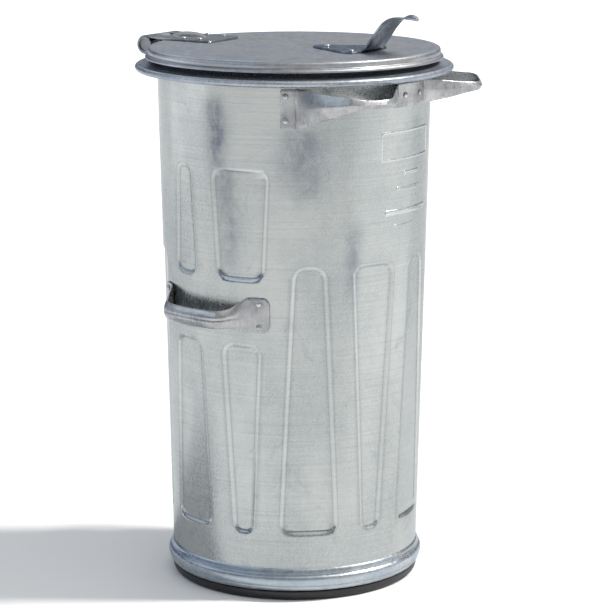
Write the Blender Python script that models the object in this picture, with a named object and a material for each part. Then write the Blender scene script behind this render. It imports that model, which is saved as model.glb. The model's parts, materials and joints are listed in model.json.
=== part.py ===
"""Galvanised sheet-steel dustbin: tapered drum, riveted strap handles and a hinged round lid.

Metres, +Z up. The origin is on the drum's axis, on the floor. The lifting handles and the lid's
lever are on the -Y side, and the lid's hinge is on the +Y side. An azimuth is an angle in degrees
round the drum, 0 at -Y and 90 at +X.
"""

import math

import bmesh
import bpy
from mathutils import Vector

# ---- driving dimensions -------------------------------------------------------------------------
GAP = 0.0004                 # air between touching pieces
SEGMENTS = 72                # columns round every turned piece

SHEET = 0.0012               # drum, pan and lid sheet
RING_SHEET = 0.0015          # rim collar and foot ring
STRAP = 0.0022               # handle strap
HINGE_STRAP = 0.0030         # hinge straps
LEVER_STRAP = 0.0025

WALL_FOOT_RADIUS = 0.1732    # drum radius at WALL_FOOT_Z
WALL_FOOT_Z = 0.040
WALL_TAPER = 0.02466         # radius gained per metre of height
WALL_BOTTOM_Z = 0.0155
WALL_TOP_Z = 0.7425

RUBBER_TOP_Z = 0.0131
RUBBER_OUTER = 0.1742
RUBBER_INNER = 0.1500
FOOT_TOP_Z = 0.0450
FOOT_BEAD_RADIUS = 0.1802
PAN_Z = 0.0310

RIM_RADIUS = 0.2210
RIM_Z = 0.7177
RIM_BEAD = 0.0045
RIM_UPPER_Z = 0.7372
RIM_LOWER_Z = 0.7095

LID_Z = 0.7450
LID_RADIUS = 0.2025
LID_HEM_RADIUS = 0.2062
LID_HEM_Z = 0.7308

PANEL_COUNT = 12
PANEL_FIRST_AZ = 10.0        # azimuth of one panel's centre line
PANEL_DEPTH = 0.0026
PANEL_BEVEL_DEG = 1.5
PANEL_BEVEL_Z = 0.005
PANEL_LOW_Z = 0.092
PANEL_MID_Z = 0.469
PANEL_HIGH_Z = 0.600
PANEL_SPLIT_Z = (0.361, 0.445)
PANEL_NARROW_DEG = 3.2       # half width at the narrow end
PANEL_WIDE_DEG = 11.7        # half width at the wide end

HINGE_Y = 0.2290
HINGE_Z = 0.7365
KNUCKLE_OUTER = 0.0135
TUBE_OUTER = 0.0102
TUBE_INNER = 0.0086
HINGE_HALF_WIDTH = 0.038
BRACKET_HALF_WIDTH = 0.0138
SLOT_HALF_WIDTH = 0.0150
SLOT_START_Y = 0.2100
STRAP_START_Y = 0.118

LOOP_AZ = 33.0               # centre line of each upper loop
LOOP_FLANGE_AZ = (56.0, 59.0, 62.0)
LOWER_HANDLE_AZ = 98.9
LOWER_HANDLE_Z = 0.401

RIVET_HEAD = 0.0042
RIVET_SHANK = 0.0021
RIVET_TAIL = 0.0036
RIVET_HEAD_HEIGHT = 0.0022
RIVET_TAIL_HEIGHT = 0.0014
RIVET_HOLE = 0.0028
RIVET_SIDES = 8

UPPER_RIVETS = ((-60.0, 0.6660), (-60.0, 0.6985), (-5.5, 0.6915),
                (5.5, 0.6915), (60.0, 0.6660), (60.0, 0.6985))
LOWER_RIVET_STEP = 27.4
LOWER_RIVET_Z = (0.3848, 0.4172)
BRACKET_RIVET_Z = (0.6380, 0.6680)
HINGE_STRAP_RIVETS = ((-0.029, 0.140), (0.029, 0.140), (-0.029, 0.168), (0.029, 0.168))
LEVER_RIVETS = ((0.0, -0.054), (-0.036, -0.116), (0.036, -0.116))


# ---- frame helpers ------------------------------------------------------------------------------
def wall_radius(z):
    """Outer radius of the drum wall at height z."""
    return WALL_FOOT_RADIUS + WALL_TAPER * (z - WALL_FOOT_Z)


def outward(azimuth):
    """Unit vector away from the axis at an azimuth in degrees."""
    angle = math.radians(azimuth)
    return Vector((math.sin(angle), -math.cos(angle), 0.0))


def sideways(azimuth):
    """Unit vector along the wall at an azimuth, towards larger azimuths."""
    angle = math.radians(azimuth)
    return Vector((math.cos(angle), math.sin(angle), 0.0))


# ---- materials ----------------------------------------------------------------------------------
def material(name, colour, roughness, metallic):
    """A Principled BSDF material with one colour."""
    made = bpy.data.materials.new(name)
    made.use_nodes = True
    shader = made.node_tree.nodes["Principled BSDF"]
    shader.inputs["Base Color"].default_value = (*colour, 1.0)
    shader.inputs["Roughness"].default_value = roughness
    shader.inputs["Metallic"].default_value = metallic
    made.diffuse_color = (*colour, 1.0)
    return made


def galvanised(name, brightness=0.50, roughness=0.38):
    """Zinc-coated steel, slightly blue."""
    return material(name, (brightness, brightness * 1.02, brightness * 1.03), roughness, 1.0)


def black_rubber(name):
    return material(name, (0.012, 0.012, 0.014), 0.62, 0.0)


# ---- mesh helpers -------------------------------------------------------------------------------
def add_object(name, verts, faces, mat, pivot=None, sharp_deg=32.0):
    """Make a closed, smooth-shaded object; with a pivot empty it is placed from that empty."""
    shift = Vector(pivot.location) if pivot else Vector((0.0, 0.0, 0.0))
    mesh = bpy.data.meshes.new(name)
    mesh.from_pydata([Vector(v) - shift for v in verts], [], faces)
    work = bmesh.new()
    work.from_mesh(mesh)
    bmesh.ops.recalc_face_normals(work, faces=work.faces)
    if work.calc_volume(signed=True) < 0.0:
        bmesh.ops.reverse_faces(work, faces=work.faces)
    work.to_mesh(mesh)
    work.free()
    mesh.shade_smooth()
    mesh.set_sharp_from_angle(angle=math.radians(sharp_deg))
    mesh.materials.append(mat)
    made = bpy.data.objects.new(name, mesh)
    bpy.context.scene.collection.objects.link(made)
    made.parent = pivot
    return made


def turned(profile, sides=SEGMENTS):
    """Turn a closed (radius, z) outline round Z. An end point at radius 0 becomes one vertex."""
    verts, rings = [], []
    for radius, z in profile:
        if radius == 0.0:
            rings.append([len(verts)] * sides)
            verts.append(Vector((0.0, 0.0, z)))
            continue
        rings.append(list(range(len(verts), len(verts) + sides)))
        for k in range(sides):
            verts.append(outward(360.0 * k / sides) * radius + Vector((0.0, 0.0, z)))
    faces = []
    for i, ring in enumerate(rings):
        below = rings[(i + 1) % len(rings)]
        for k in range(sides):
            corner = [ring[k], ring[(k + 1) % sides], below[(k + 1) % sides], below[k]]
            face = list(dict.fromkeys(corner))
            if len(face) > 2:
                faces.append(face)
    return verts, faces


def offset_path(path, distance):
    """Move a 2-D polyline sideways by a distance, to the right of its direction of travel."""
    moved = []
    last = len(path) - 1
    for i, point in enumerate(path):
        here = Vector(point)
        before = (here - Vector(path[i - 1])).normalized() if i > 0 else None
        after = (Vector(path[i + 1]) - here).normalized() if i < last else None
        along = ((before or after) + (after or before)).normalized()
        normal = Vector((along.y, -along.x))
        cosine = along.dot(after or before)
        moved.append(here + normal * (distance / max(cosine, 0.5)))
    return moved


def sheet_outline(path, thickness):
    """Closed outline of a sheet whose visible face follows a path; it grows to the path's right."""
    back = offset_path(path, thickness)
    return [tuple(p) for p in path] + [tuple(p) for p in reversed(back)]


def sheet_grid(front, back, wrap=False):
    """Closed sheet between two grids of points. front[i][j] faces back[i][j]."""
    rows, columns = len(front), len(front[0])
    verts = [p for row in front for p in row] + [p for row in back for p in row]

    def index(side, i, j):
        return side * rows * columns + (i % rows) * columns + j

    faces = []
    for i in range(rows if wrap else rows - 1):
        for j in range(columns - 1):
            faces.append([index(0, i, j), index(0, i + 1, j), index(0, i + 1, j + 1), index(0, i, j + 1)])
            faces.append([index(1, i, j + 1), index(1, i + 1, j + 1), index(1, i + 1, j), index(1, i, j)])
        for j in (0, columns - 1):
            edge = [index(0, i, j), index(1, i, j), index(1, i + 1, j), index(0, i + 1, j)]
            faces.append(edge if j == 0 else edge[::-1])
    if not wrap:
        for i in (0, rows - 1):
            for j in range(columns - 1):
                edge = [index(0, i, j), index(0, i, j + 1), index(1, i, j + 1), index(1, i, j)]
                faces.append(edge if i == 0 else edge[::-1])
    return verts, faces


def add_cylinders(name, ends, radius, sides):
    """Cutter made of closed cylinders between pairs of points."""
    verts, faces = [], []
    for start, end in ends:
        axis = (end - start).normalized()
        right = axis.orthogonal().normalized()
        up = axis.cross(right)
        first = len(verts)
        for centre in (start, end):
            for k in range(sides):
                angle = 2.0 * math.pi * (k + 0.5) / sides
                verts.append(centre + radius * (math.cos(angle) * right + math.sin(angle) * up))
        for k in range(sides):
            nxt = (k + 1) % sides
            faces.append([first + k, first + nxt, first + sides + nxt, first + sides + k])
        faces.append([first + k for k in reversed(range(sides))])
        faces.append([first + sides + k for k in range(sides)])
    return add_cutter(name, verts, faces)


def add_box_cutter(name, low, high):
    """Cutter in the shape of a box."""
    verts = [(x, y, z) for x in (low[0], high[0]) for y in (low[1], high[1]) for z in (low[2], high[2])]
    faces = [[0, 1, 3, 2], [4, 6, 7, 5], [0, 4, 5, 1], [2, 3, 7, 6], [0, 2, 6, 4], [1, 5, 7, 3]]
    return add_cutter(name, verts, faces)


def add_cutter(name, verts, faces):
    mesh = bpy.data.meshes.new(name)
    mesh.from_pydata(verts, [], faces)
    cutter = bpy.data.objects.new(name, mesh)
    cutter.hide_render = True
    cutter.display_type = "WIRE"
    bpy.context.scene.collection.objects.link(cutter)
    return cutter


def boolean(target, other, operation="DIFFERENCE"):
    step = target.modifiers.new(other.name, "BOOLEAN")
    step.operation = operation
    step.object = other
    step.solver = "EXACT"


def fill_between(keys, steps):
    """Catmull-Rom curve through rows of numbers, with a number of steps between neighbours."""
    rows = []
    last = len(keys) - 1
    for i in range(last):
        a, b, c, d = (keys[max(i - 1, 0)], keys[i], keys[i + 1], keys[min(i + 2, last)])
        for s in range(steps):
            t = s / steps
            weight = (-t + 2 * t ** 2 - t ** 3, 2 - 5 * t ** 2 + 3 * t ** 3,
                      t + 4 * t ** 2 - 3 * t ** 3, -t ** 2 + t ** 3)
            rows.append(tuple(0.5 * sum(w * p[k] for w, p in zip(weight, (a, b, c, d)))
                              for k in range(len(b))))
    return rows + [tuple(keys[last])]


# ---- drum ---------------------------------------------------------------------------------------
def panel_half_width(number, z):
    """Half width in degrees of a panel at height z; every second panel is widest at the foot."""
    share = (z - PANEL_LOW_Z) / (PANEL_HIGH_Z - PANEL_LOW_Z)
    if number % 2:
        share = 1.0 - share
    return PANEL_WIDE_DEG + (PANEL_NARROW_DEG - PANEL_WIDE_DEG) * share


def panel_spans(azimuth):
    """Height ranges of the panels in one column: two beside a lower handle, one elsewhere."""
    away = min(abs((azimuth - side * LOWER_HANDLE_AZ + 180.0) % 360.0 - 180.0) for side in (-1, 1))
    if away < 40.0:
        return ((PANEL_LOW_Z, PANEL_SPLIT_Z[0]), (PANEL_SPLIT_Z[1], PANEL_HIGH_Z))
    return ((PANEL_LOW_Z, PANEL_MID_Z),)


def wall_levels():
    """Heights of the wall's rows of vertices."""
    ease = 0.007
    levels = {WALL_BOTTOM_Z, PANEL_SPLIT_Z[0] + ease, PANEL_SPLIT_Z[1] - ease, PANEL_HIGH_Z + ease, WALL_TOP_Z}
    for low, high in ((PANEL_LOW_Z, PANEL_SPLIT_Z[0]), (PANEL_SPLIT_Z[1], PANEL_HIGH_Z),
                      (PANEL_LOW_Z, PANEL_MID_Z)):
        levels.update((low, low + PANEL_BEVEL_Z, high - PANEL_BEVEL_Z, high))
    return sorted(levels)


def wall_sector(number, z):
    """(azimuth, depth) of one panel column's six vertices at height z."""
    centre = PANEL_FIRST_AZ + number * 360.0 / PANEL_COUNT
    span = next((s for s in panel_spans(centre) if s[0] - 1e-6 <= z <= s[1] + 1e-6), None)
    if span is None:
        return [(centre + step, 0.0) for step in (-15.0, -10.0, -5.0, 0.0, 5.0, 10.0)]
    inside = span[0] + 1e-6 < z < span[1] - 1e-6
    depth = PANEL_DEPTH if inside else 0.0
    half = panel_half_width(number, z)
    outer = half + PANEL_BEVEL_DEG
    return [(centre - 15.0, 0.0), (centre - outer, 0.0), (centre - half, depth),
            (centre, depth), (centre + half, depth), (centre + outer, 0.0)]


def make_body_shell(holes):
    """Tapered drum wall with tapered panels pressed inwards, and rivet holes."""
    levels = wall_levels()
    columns = []
    for number in range(PANEL_COUNT):
        for k in range(6):
            columns.append([(z, *wall_sector(number, z)[k]) for z in levels])

    def point(entry, inset):
        z, azimuth, depth = entry
        return outward(azimuth) * (wall_radius(z) - depth - inset) + Vector((0.0, 0.0, z))

    front = [[point(entry, 0.0) for entry in column] for column in columns]
    back = [[point(entry, SHEET) for entry in column] for column in columns]
    shell = add_object("body_shell", *sheet_grid(front, back, wrap=True), galvanised("zinc_body"), None, 20.0)
    boolean(shell, holes)


def make_rim_collar():
    """Conical rim sheet, rolled over a bead and turned back under to the wall."""
    bead = RIM_RADIUS - RIM_BEAD
    path = [(wall_radius(RIM_UPPER_Z) + GAP + RING_SHEET, RIM_UPPER_Z), (0.1945, 0.7262),
            (0.2050, 0.7210), (0.2120, 0.7207)]
    for k in range(4):
        angle = math.radians(90.0 - 60.0 * k)
        path.append((bead + RIM_BEAD * math.cos(angle), RIM_Z + RIM_BEAD * math.sin(angle)))
    path += [(0.1990, 0.7118), (wall_radius(RIM_LOWER_Z) + GAP + RING_SHEET, RIM_LOWER_Z)]
    add_object("rim_collar", *turned(sheet_outline(path, RING_SHEET)), galvanised("zinc_rim", 0.46))


def make_foot_ring():
    """Swaged ring round the bottom edge, turned in under the wall."""
    top = wall_radius(FOOT_TOP_Z) + GAP + RING_SHEET
    path = [(top, FOOT_TOP_Z), (0.1790, 0.0380), (FOOT_BEAD_RADIUS, 0.0285),
            (0.1788, 0.0200), (0.1738, 0.0135), (0.1600, 0.0135)]
    add_object("foot_ring", *turned(sheet_outline(path, RING_SHEET)), galvanised("zinc_foot", 0.48))


def make_rubber_ring():
    """Rubber ring under the foot ring, with eased outer edges."""
    outline = [(RUBBER_INNER, 0.0), (RUBBER_OUTER - 0.003, 0.0), (RUBBER_OUTER, 0.003),
               (RUBBER_OUTER, RUBBER_TOP_Z - 0.002), (RUBBER_OUTER - 0.002, RUBBER_TOP_Z),
               (RUBBER_INNER, RUBBER_TOP_Z)]
    add_object("rubber_foot_ring", *turned(outline), black_rubber("foot_rubber"))


def make_base_pan():
    """Dished bottom sheet standing on the foot ring, inside the wall."""
    skirt = wall_radius(WALL_BOTTOM_Z) - SHEET - 2 * GAP
    path = [(0.0, PAN_Z), (0.1600, PAN_Z), (0.1680, 0.0280), (skirt, 0.0220), (skirt, 0.0154)]
    add_object("base_pan", *turned(sheet_outline(path, SHEET)), galvanised("zinc_pan", 0.42))


# ---- strap handles ------------------------------------------------------------------------------
def strap_section(centre, normal, low, high, lip, lean):
    """Front and back points across a strap: its edges stand forward by lip, and it leans by lean."""
    front, back = [], []
    for share in (0.0, 0.25, 0.5, 0.75, 1.0):
        z = low + (high - low) * share
        ahead = lip * (2.0 * share - 1.0) ** 2 + lean * (z - 0.5 * (low + high))
        place = centre + normal * ahead + Vector((0.0, 0.0, z))
        front.append(place + normal * (0.5 * STRAP))
        back.append(place - normal * (0.5 * STRAP))
    return front, back


def strap_handle(name, rows, mat, holes):
    """Bend a strap along rows of (x, y, low, high, lip, lean)."""
    front, back = [], []
    last = len(rows) - 1
    for i, (x, y, low, high, lip, lean) in enumerate(rows):
        before, after = rows[max(i - 1, 0)], rows[min(i + 1, last)]
        along = Vector((after[0] - before[0], after[1] - before[1], 0.0)).normalized()
        normal = Vector((along.y, -along.x, 0.0))
        section = strap_section(Vector((x, y, 0.0)), normal, low, high, lip, lean)
        front.append(section[0])
        back.append(section[1])
    handle = add_object(name, *sheet_grid(front, back), mat)
    boolean(handle, holes)


def flange_row(azimuth, low, high):
    """A strap row that lies on the wall and leans with it."""
    place = outward(azimuth) * (wall_radius(0.5 * (low + high)) + GAP + 0.5 * STRAP)
    return (place.x, place.y, low, high, 0.0, WALL_TAPER)


def loop_rows(azimuth, keys, steps):
    """Rows of a loop from keys of (along, out, low, high, lip) about its centre line."""
    rows = []
    for along, out, low, high, lip in fill_between(keys, steps):
        place = outward(azimuth) * out + sideways(azimuth) * along
        rows.append((place.x, place.y, low, high, lip, 0.0))
    return rows


def mirrored(keys):
    """The same keys with their first value negated, in reverse order."""
    return [(-key[0], *key[1:]) for key in reversed(keys)]


def make_double_handle(holes):
    """One strap under the rim: end flange, loop, middle plate, loop, end flange."""
    top = 0.7080
    outer_arm = [(-0.0730, 0.1795, 0.6550, top, 0.0006), (-0.0640, 0.1966, 0.6610, 0.7062, 0.0030),
                 (-0.0530, 0.2168, 0.6690, 0.7048, 0.0042), (-0.0420, 0.2360, 0.6760, 0.7042, 0.0042),
                 (-0.0345, 0.2482, 0.6810, 0.7040, 0.0036)]
    grip = [(-0.0250, 0.2557, 0.6850, 0.7025, 0.0036), (-0.0110, 0.2582, 0.6875, 0.6998, 0.0036),
            (0.0110, 0.2582, 0.6878, 0.6990, 0.0036), (0.0250, 0.2557, 0.6876, 0.6990, 0.0036)]
    inner_arm = [(0.0345, 0.2482, 0.6868, 0.6995, 0.0036), (0.0420, 0.2360, 0.6850, 0.7006, 0.0040),
                 (0.0530, 0.2168, 0.6812, 0.7030, 0.0036), (0.0640, 0.1966, 0.6784, 0.7060, 0.0024),
                 (0.0730, 0.1795, 0.6765, top, 0.0006)]
    keys = outer_arm + grip + inner_arm
    rows = [flange_row(-azimuth, 0.6540, top) for azimuth in reversed(LOOP_FLANGE_AZ)]
    rows += loop_rows(-LOOP_AZ, keys, 1)
    rows += [flange_row(azimuth, 0.6760, top) for azimuth in (-10.0, -5.0, 0.0, 5.0, 10.0)]
    rows += loop_rows(LOOP_AZ, mirrored(keys), 1)
    rows += [flange_row(azimuth, 0.6540, top) for azimuth in LOOP_FLANGE_AZ]
    strap_handle("front_double_handle", rows, galvanised("zinc_handle", 0.56, 0.28), holes)


def make_lower_handle(side, holes):
    """Strap handle at mid height on one side: flange, bowed grip, flange."""
    low, high = LOWER_HANDLE_Z - 0.0243, LOWER_HANDLE_Z + 0.0243
    grip_low, grip_high = LOWER_HANDLE_Z - 0.0145, LOWER_HANDLE_Z + 0.0070
    half = [(-0.0700, 0.1720, low + 0.001, high - 0.001, 0.0006),
            (-0.0650, 0.1825, low + 0.005, high - 0.007, 0.0022),
            (-0.0600, 0.1935, low + 0.009, high - 0.014, 0.0034),
            (-0.0530, 0.2040, grip_low, grip_high + 0.001, 0.0036),
            (-0.0430, 0.2115, grip_low, grip_high, 0.0036),
            (-0.0280, 0.2152, grip_low, grip_high, 0.0036),
            (-0.0120, 0.2166, grip_low, grip_high, 0.0036)]
    centre = side * LOWER_HANDLE_AZ
    ends = (32.0, 28.2, 24.4)
    rows = [flange_row(centre - step, low, high) for step in ends]
    rows += loop_rows(centre, half + mirrored(half), 1)
    rows += [flange_row(centre + step, low, high) for step in reversed(ends)]
    name = "lower_handle_left" if side < 0 else "lower_handle_right"
    strap_handle(name, rows, galvanised("zinc_" + name, 0.54, 0.30), holes)


# ---- lid and hinge ------------------------------------------------------------------------------
def make_lid_shell(pivot, holes):
    """Flat round lid with a rounded edge, a skirt and a stepped hem."""
    path = [(0.0, LID_Z), (0.1985, LID_Z), (LID_RADIUS, LID_Z - 0.0040), (LID_RADIUS, LID_Z - 0.0090),
            (LID_HEM_RADIUS, 0.7330), (LID_HEM_RADIUS, LID_HEM_Z)]
    lid = add_object("lid_shell", *turned(sheet_outline(path, SHEET)), galvanised("zinc_lid", 0.36, 0.5), pivot)
    boolean(lid, holes)


def hinge_arc(start_deg, end_deg, steps):
    """(y, z) points on the middle of a knuckle's sheet, from one angle to another."""
    radius = KNUCKLE_OUTER - 0.5 * HINGE_STRAP
    points = []
    for k in range(steps + 1):
        angle = math.radians(start_deg + (end_deg - start_deg) * k / steps)
        points.append((HINGE_Y + radius * math.cos(angle), HINGE_Z + radius * math.sin(angle)))
    return points


def folded_strip(middle, half_width, thickness):
    """Strip that runs along (y, z) points at the middle of its thickness, at full width in X."""
    sides = [offset_path(middle, offset) for offset in (-0.5 * thickness, 0.5 * thickness)]
    grids = [[[Vector((x, p[0], p[1])) for x in (-half_width, half_width)] for p in side] for side in sides]
    return sheet_grid(*grids)


def make_hinge_tube():
    """Tube through the knuckles, with a flared collar at each end."""
    end, collar, flare = HINGE_HALF_WIDTH + 0.0018, 0.0012, 0.0022
    outline = [(TUBE_OUTER, -end + collar), (TUBE_OUTER, end - collar), (TUBE_OUTER + flare, end - collar),
               (TUBE_OUTER + flare, end), (TUBE_INNER, end), (TUBE_INNER, -end),
               (TUBE_OUTER + flare, -end), (TUBE_OUTER + flare, -end + collar)]
    verts, faces = turned(outline, 16)
    placed = [Vector((v.z, HINGE_Y + v.x, HINGE_Z + v.y)) for v in verts]
    add_object("hinge_tube", placed, faces, galvanised("zinc_tube", 0.5, 0.3))


def make_hinge_bracket(holes):
    """Strap on the wall that passes behind the rim and wraps the tube between the lid's knuckles."""
    low, high = 0.6220, 0.6860
    off_wall = GAP + 0.5 * HINGE_STRAP
    middle = hinge_arc(160.0, -45.0, 9)
    middle += [(0.2262, 0.7152), (0.2262, 0.7085)]
    middle += [(wall_radius(high) + off_wall, high), (wall_radius(low) + off_wall, low)]
    bracket = add_object("hinge_bracket", *folded_strip(middle, BRACKET_HALF_WIDTH, HINGE_STRAP),
                         galvanised("zinc_bracket", 0.48))
    boolean(bracket, holes)


def make_lid_hinge_strap(pivot, holes):
    """Strap riveted to the lid, with a pressed dome, a slot and two knuckles round the tube."""
    plate_z = LID_Z + GAP + 0.5 * HINGE_STRAP
    middle = [(STRAP_START_Y, plate_z), (0.2060, plate_z), (0.2180, plate_z + 0.0008)]
    middle += hinge_arc(90.0, -150.0, 10)
    strap = add_object("lid_hinge_strap", *folded_strip(middle, HINGE_HALF_WIDTH, HINGE_STRAP),
                       galvanised("zinc_hinge_strap", 0.42, 0.45), pivot)
    slot = add_box_cutter("knuckle_slot", (-SLOT_HALF_WIDTH, SLOT_START_Y, 0.70), (SLOT_HALF_WIDTH, 0.26, 0.78))
    boolean(strap, slot)
    boolean(strap, make_dome(), "UNION")
    boolean(strap, holes)


def make_dome():
    """Long low dome pressed up out of the lid's hinge strap."""
    centre_y, half_length, half_width, height = 0.1790, 0.0290, 0.0160, 0.0062
    base = LID_Z + GAP + 0.4 * HINGE_STRAP
    verts, faces = [], []
    rings, sides = 4, 16
    for ring in range(rings):
        share = math.cos(0.5 * math.pi * ring / rings)
        rise = math.sin(0.5 * math.pi * ring / rings)
        for k in range(sides):
            angle = 2.0 * math.pi * k / sides
            verts.append((half_width * share * math.cos(angle), centre_y + half_length * share * math.sin(angle),
                          base + (0.6 * HINGE_STRAP + height) * rise))
    verts.append((0.0, centre_y, base + 0.6 * HINGE_STRAP + height))
    for ring in range(rings - 1):
        for k in range(sides):
            nxt = (k + 1) % sides
            faces.append([ring * sides + k, ring * sides + nxt, (ring + 1) * sides + nxt, (ring + 1) * sides + k])
    top = (rings - 1) * sides
    for k in range(sides):
        faces.append([top + k, top + (k + 1) % sides, len(verts) - 1])
    faces.append(list(reversed(range(sides))))
    return add_cutter("dome_form", verts, faces)


def make_lid_lever(pivot, holes):
    """Lifting tongue: a flat delta-shaped foot that bends up into a rising, drooping blade."""
    foot = LID_Z + GAP + 0.5 * LEVER_STRAP
    # distance in front of the lid's centre, height, half width, lift of the edges
    rows = [(0.0350, foot, 0.0050, 0.0), (0.0400, foot, 0.0110, 0.0), (0.1040, foot, 0.0440, 0.0),
            (0.1120, foot, 0.0465, 0.0), (0.1225, foot, 0.0450, 0.0), (0.1260, foot + 0.0004, 0.0270, 0.0004)]
    blade = [(0.1300, foot + 0.0030, 0.0255, 0.0012), (0.1400, foot + 0.0146, 0.0250, 0.0022),
             (0.1500, foot + 0.0278, 0.0250, 0.0026), (0.1600, foot + 0.0382, 0.0245, 0.0026),
             (0.1700, foot + 0.0442, 0.0230, 0.0024), (0.1800, foot + 0.0460, 0.0195, 0.0020),
             (0.1900, foot + 0.0454, 0.0125, 0.0012), (0.1990, foot + 0.0436, 0.0035, 0.0004)]
    rows += fill_between(blade, 2)
    path = [(row[0], row[1]) for row in rows]
    upper = offset_path(path, -0.5 * LEVER_STRAP)
    lower = offset_path(path, 0.5 * LEVER_STRAP)

    def grid(side):
        points = []
        for (ahead, z), row in zip(side, rows):
            points.append([Vector((row[2] * share, -ahead, z + row[3] * share * share))
                           for share in (-1.0, -0.5, 0.0, 0.5, 1.0)])
        return points

    lever = add_object("lid_lever", *sheet_grid(grid(upper), grid(lower)),
                       galvanised("zinc_lever", 0.52, 0.25), pivot)
    boolean(lever, holes)


# ---- rivets -------------------------------------------------------------------------------------
def make_rivet(name, place, axis, over, under, mat, pivot=None):
    """Domed rivet: head above over, tail below under, both measured along axis from place."""
    head, tail = over + GAP, -under - GAP
    outline = [(0.0, head + RIVET_HEAD_HEIGHT), (0.75 * RIVET_HEAD, head + 0.7 * RIVET_HEAD_HEIGHT),
               (RIVET_HEAD, head), (RIVET_SHANK, head), (RIVET_SHANK, tail), (RIVET_TAIL, tail),
               (0.0, tail - RIVET_TAIL_HEIGHT)]
    verts, faces = turned(outline, RIVET_SIDES)
    turn = Vector((0.0, 0.0, 1.0)).rotation_difference(axis).to_matrix()
    add_object(name, [place + turn @ v for v in verts], faces, mat, pivot, 40.0)


def wall_place(azimuth, z):
    """Point on the drum's outer face."""
    return outward(azimuth) * wall_radius(z) + Vector((0.0, 0.0, z))


def drum_rivets():
    """(name, azimuth, z, strap thickness) of every rivet through the drum wall."""
    found = [(f"rivet_upper_{i + 1}", azimuth, z, STRAP) for i, (azimuth, z) in enumerate(UPPER_RIVETS)]
    for side, word in ((-1, "left"), (1, "right")):
        places = [(end, z) for end in (-1, 1) for z in LOWER_RIVET_Z]
        for i, (end, z) in enumerate(places):
            azimuth = side * LOWER_HANDLE_AZ + end * LOWER_RIVET_STEP
            found.append((f"rivet_lower_{word}_{i + 1}", azimuth, z, STRAP))
    found += [(f"rivet_bracket_{i + 1}", 180.0, z, HINGE_STRAP) for i, z in enumerate(BRACKET_RIVET_Z)]
    return found


def lid_rivets():
    """(name, x, y, strap thickness) of every rivet through the lid."""
    found = [(f"rivet_hinge_{i + 1}", x, y, HINGE_STRAP) for i, (x, y) in enumerate(HINGE_STRAP_RIVETS)]
    found += [(f"rivet_lever_{i + 1}", x, y, LEVER_STRAP) for i, (x, y) in enumerate(LEVER_RIVETS)]
    return found


def make_rivets(pivot):
    for name, azimuth, z, strap in drum_rivets():
        make_rivet(name, wall_place(azimuth, z), outward(azimuth), strap + GAP, SHEET, galvanised("zinc_" + name))
    for name, x, y, strap in lid_rivets():
        make_rivet(name, Vector((x, y, LID_Z)), Vector((0.0, 0.0, 1.0)), strap + GAP, SHEET,
                   galvanised("zinc_" + name), pivot)


def rivet_hole_cutters():
    """Cutters for the holes in the drum's sheets and in the lid's sheets."""
    reach = 0.009
    drum = [(wall_place(azimuth, z) - outward(azimuth) * reach, wall_place(azimuth, z) + outward(azimuth) * reach)
            for _, azimuth, z, _ in drum_rivets()]
    lid = [(Vector((x, y, LID_Z - reach)), Vector((x, y, LID_Z + reach))) for _, x, y, _ in lid_rivets()]
    return (add_cylinders("drum_rivet_holes", drum, RIVET_HOLE, RIVET_SIDES),
            add_cylinders("lid_rivet_holes", lid, RIVET_HOLE, RIVET_SIDES))


# ---- assembly -----------------------------------------------------------------------------------
def clear_scene():
    for old in list(bpy.data.objects):
        bpy.data.objects.remove(old, do_unlink=True)


def make_pivot():
    """Empty on the lid's hinge axis, which every lid piece hangs on."""
    pivot = bpy.data.objects.new("lid_hinge_axis", None)
    pivot.location = (0.0, HINGE_Y, HINGE_Z)
    bpy.context.scene.collection.objects.link(pivot)
    return pivot


def main():
    clear_scene()
    pivot = make_pivot()
    drum_holes, lid_holes = rivet_hole_cutters()
    make_body_shell(drum_holes)
    make_rim_collar()
    make_foot_ring()
    make_rubber_ring()
    make_base_pan()
    make_double_handle(drum_holes)
    make_lower_handle(-1, drum_holes)
    make_lower_handle(1, drum_holes)
    make_hinge_bracket(drum_holes)
    make_hinge_tube()
    make_lid_shell(pivot, lid_holes)
    make_lid_hinge_strap(pivot, lid_holes)
    make_lid_lever(pivot, lid_holes)
    make_rivets(pivot)


main()
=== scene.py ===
"""Looks for the galvanised litter bin: fine sheet-metal meshes, zinc and rubber materials, studio.

Metres, +Z up, in the CAD model's frame. An azimuth is an angle in degrees round the drum, 0 at -Y
(the lid's tongue) and 90 at +X. Every mesh stands for a CAD node and rides on that node's body.
"""

import json
import math

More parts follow.
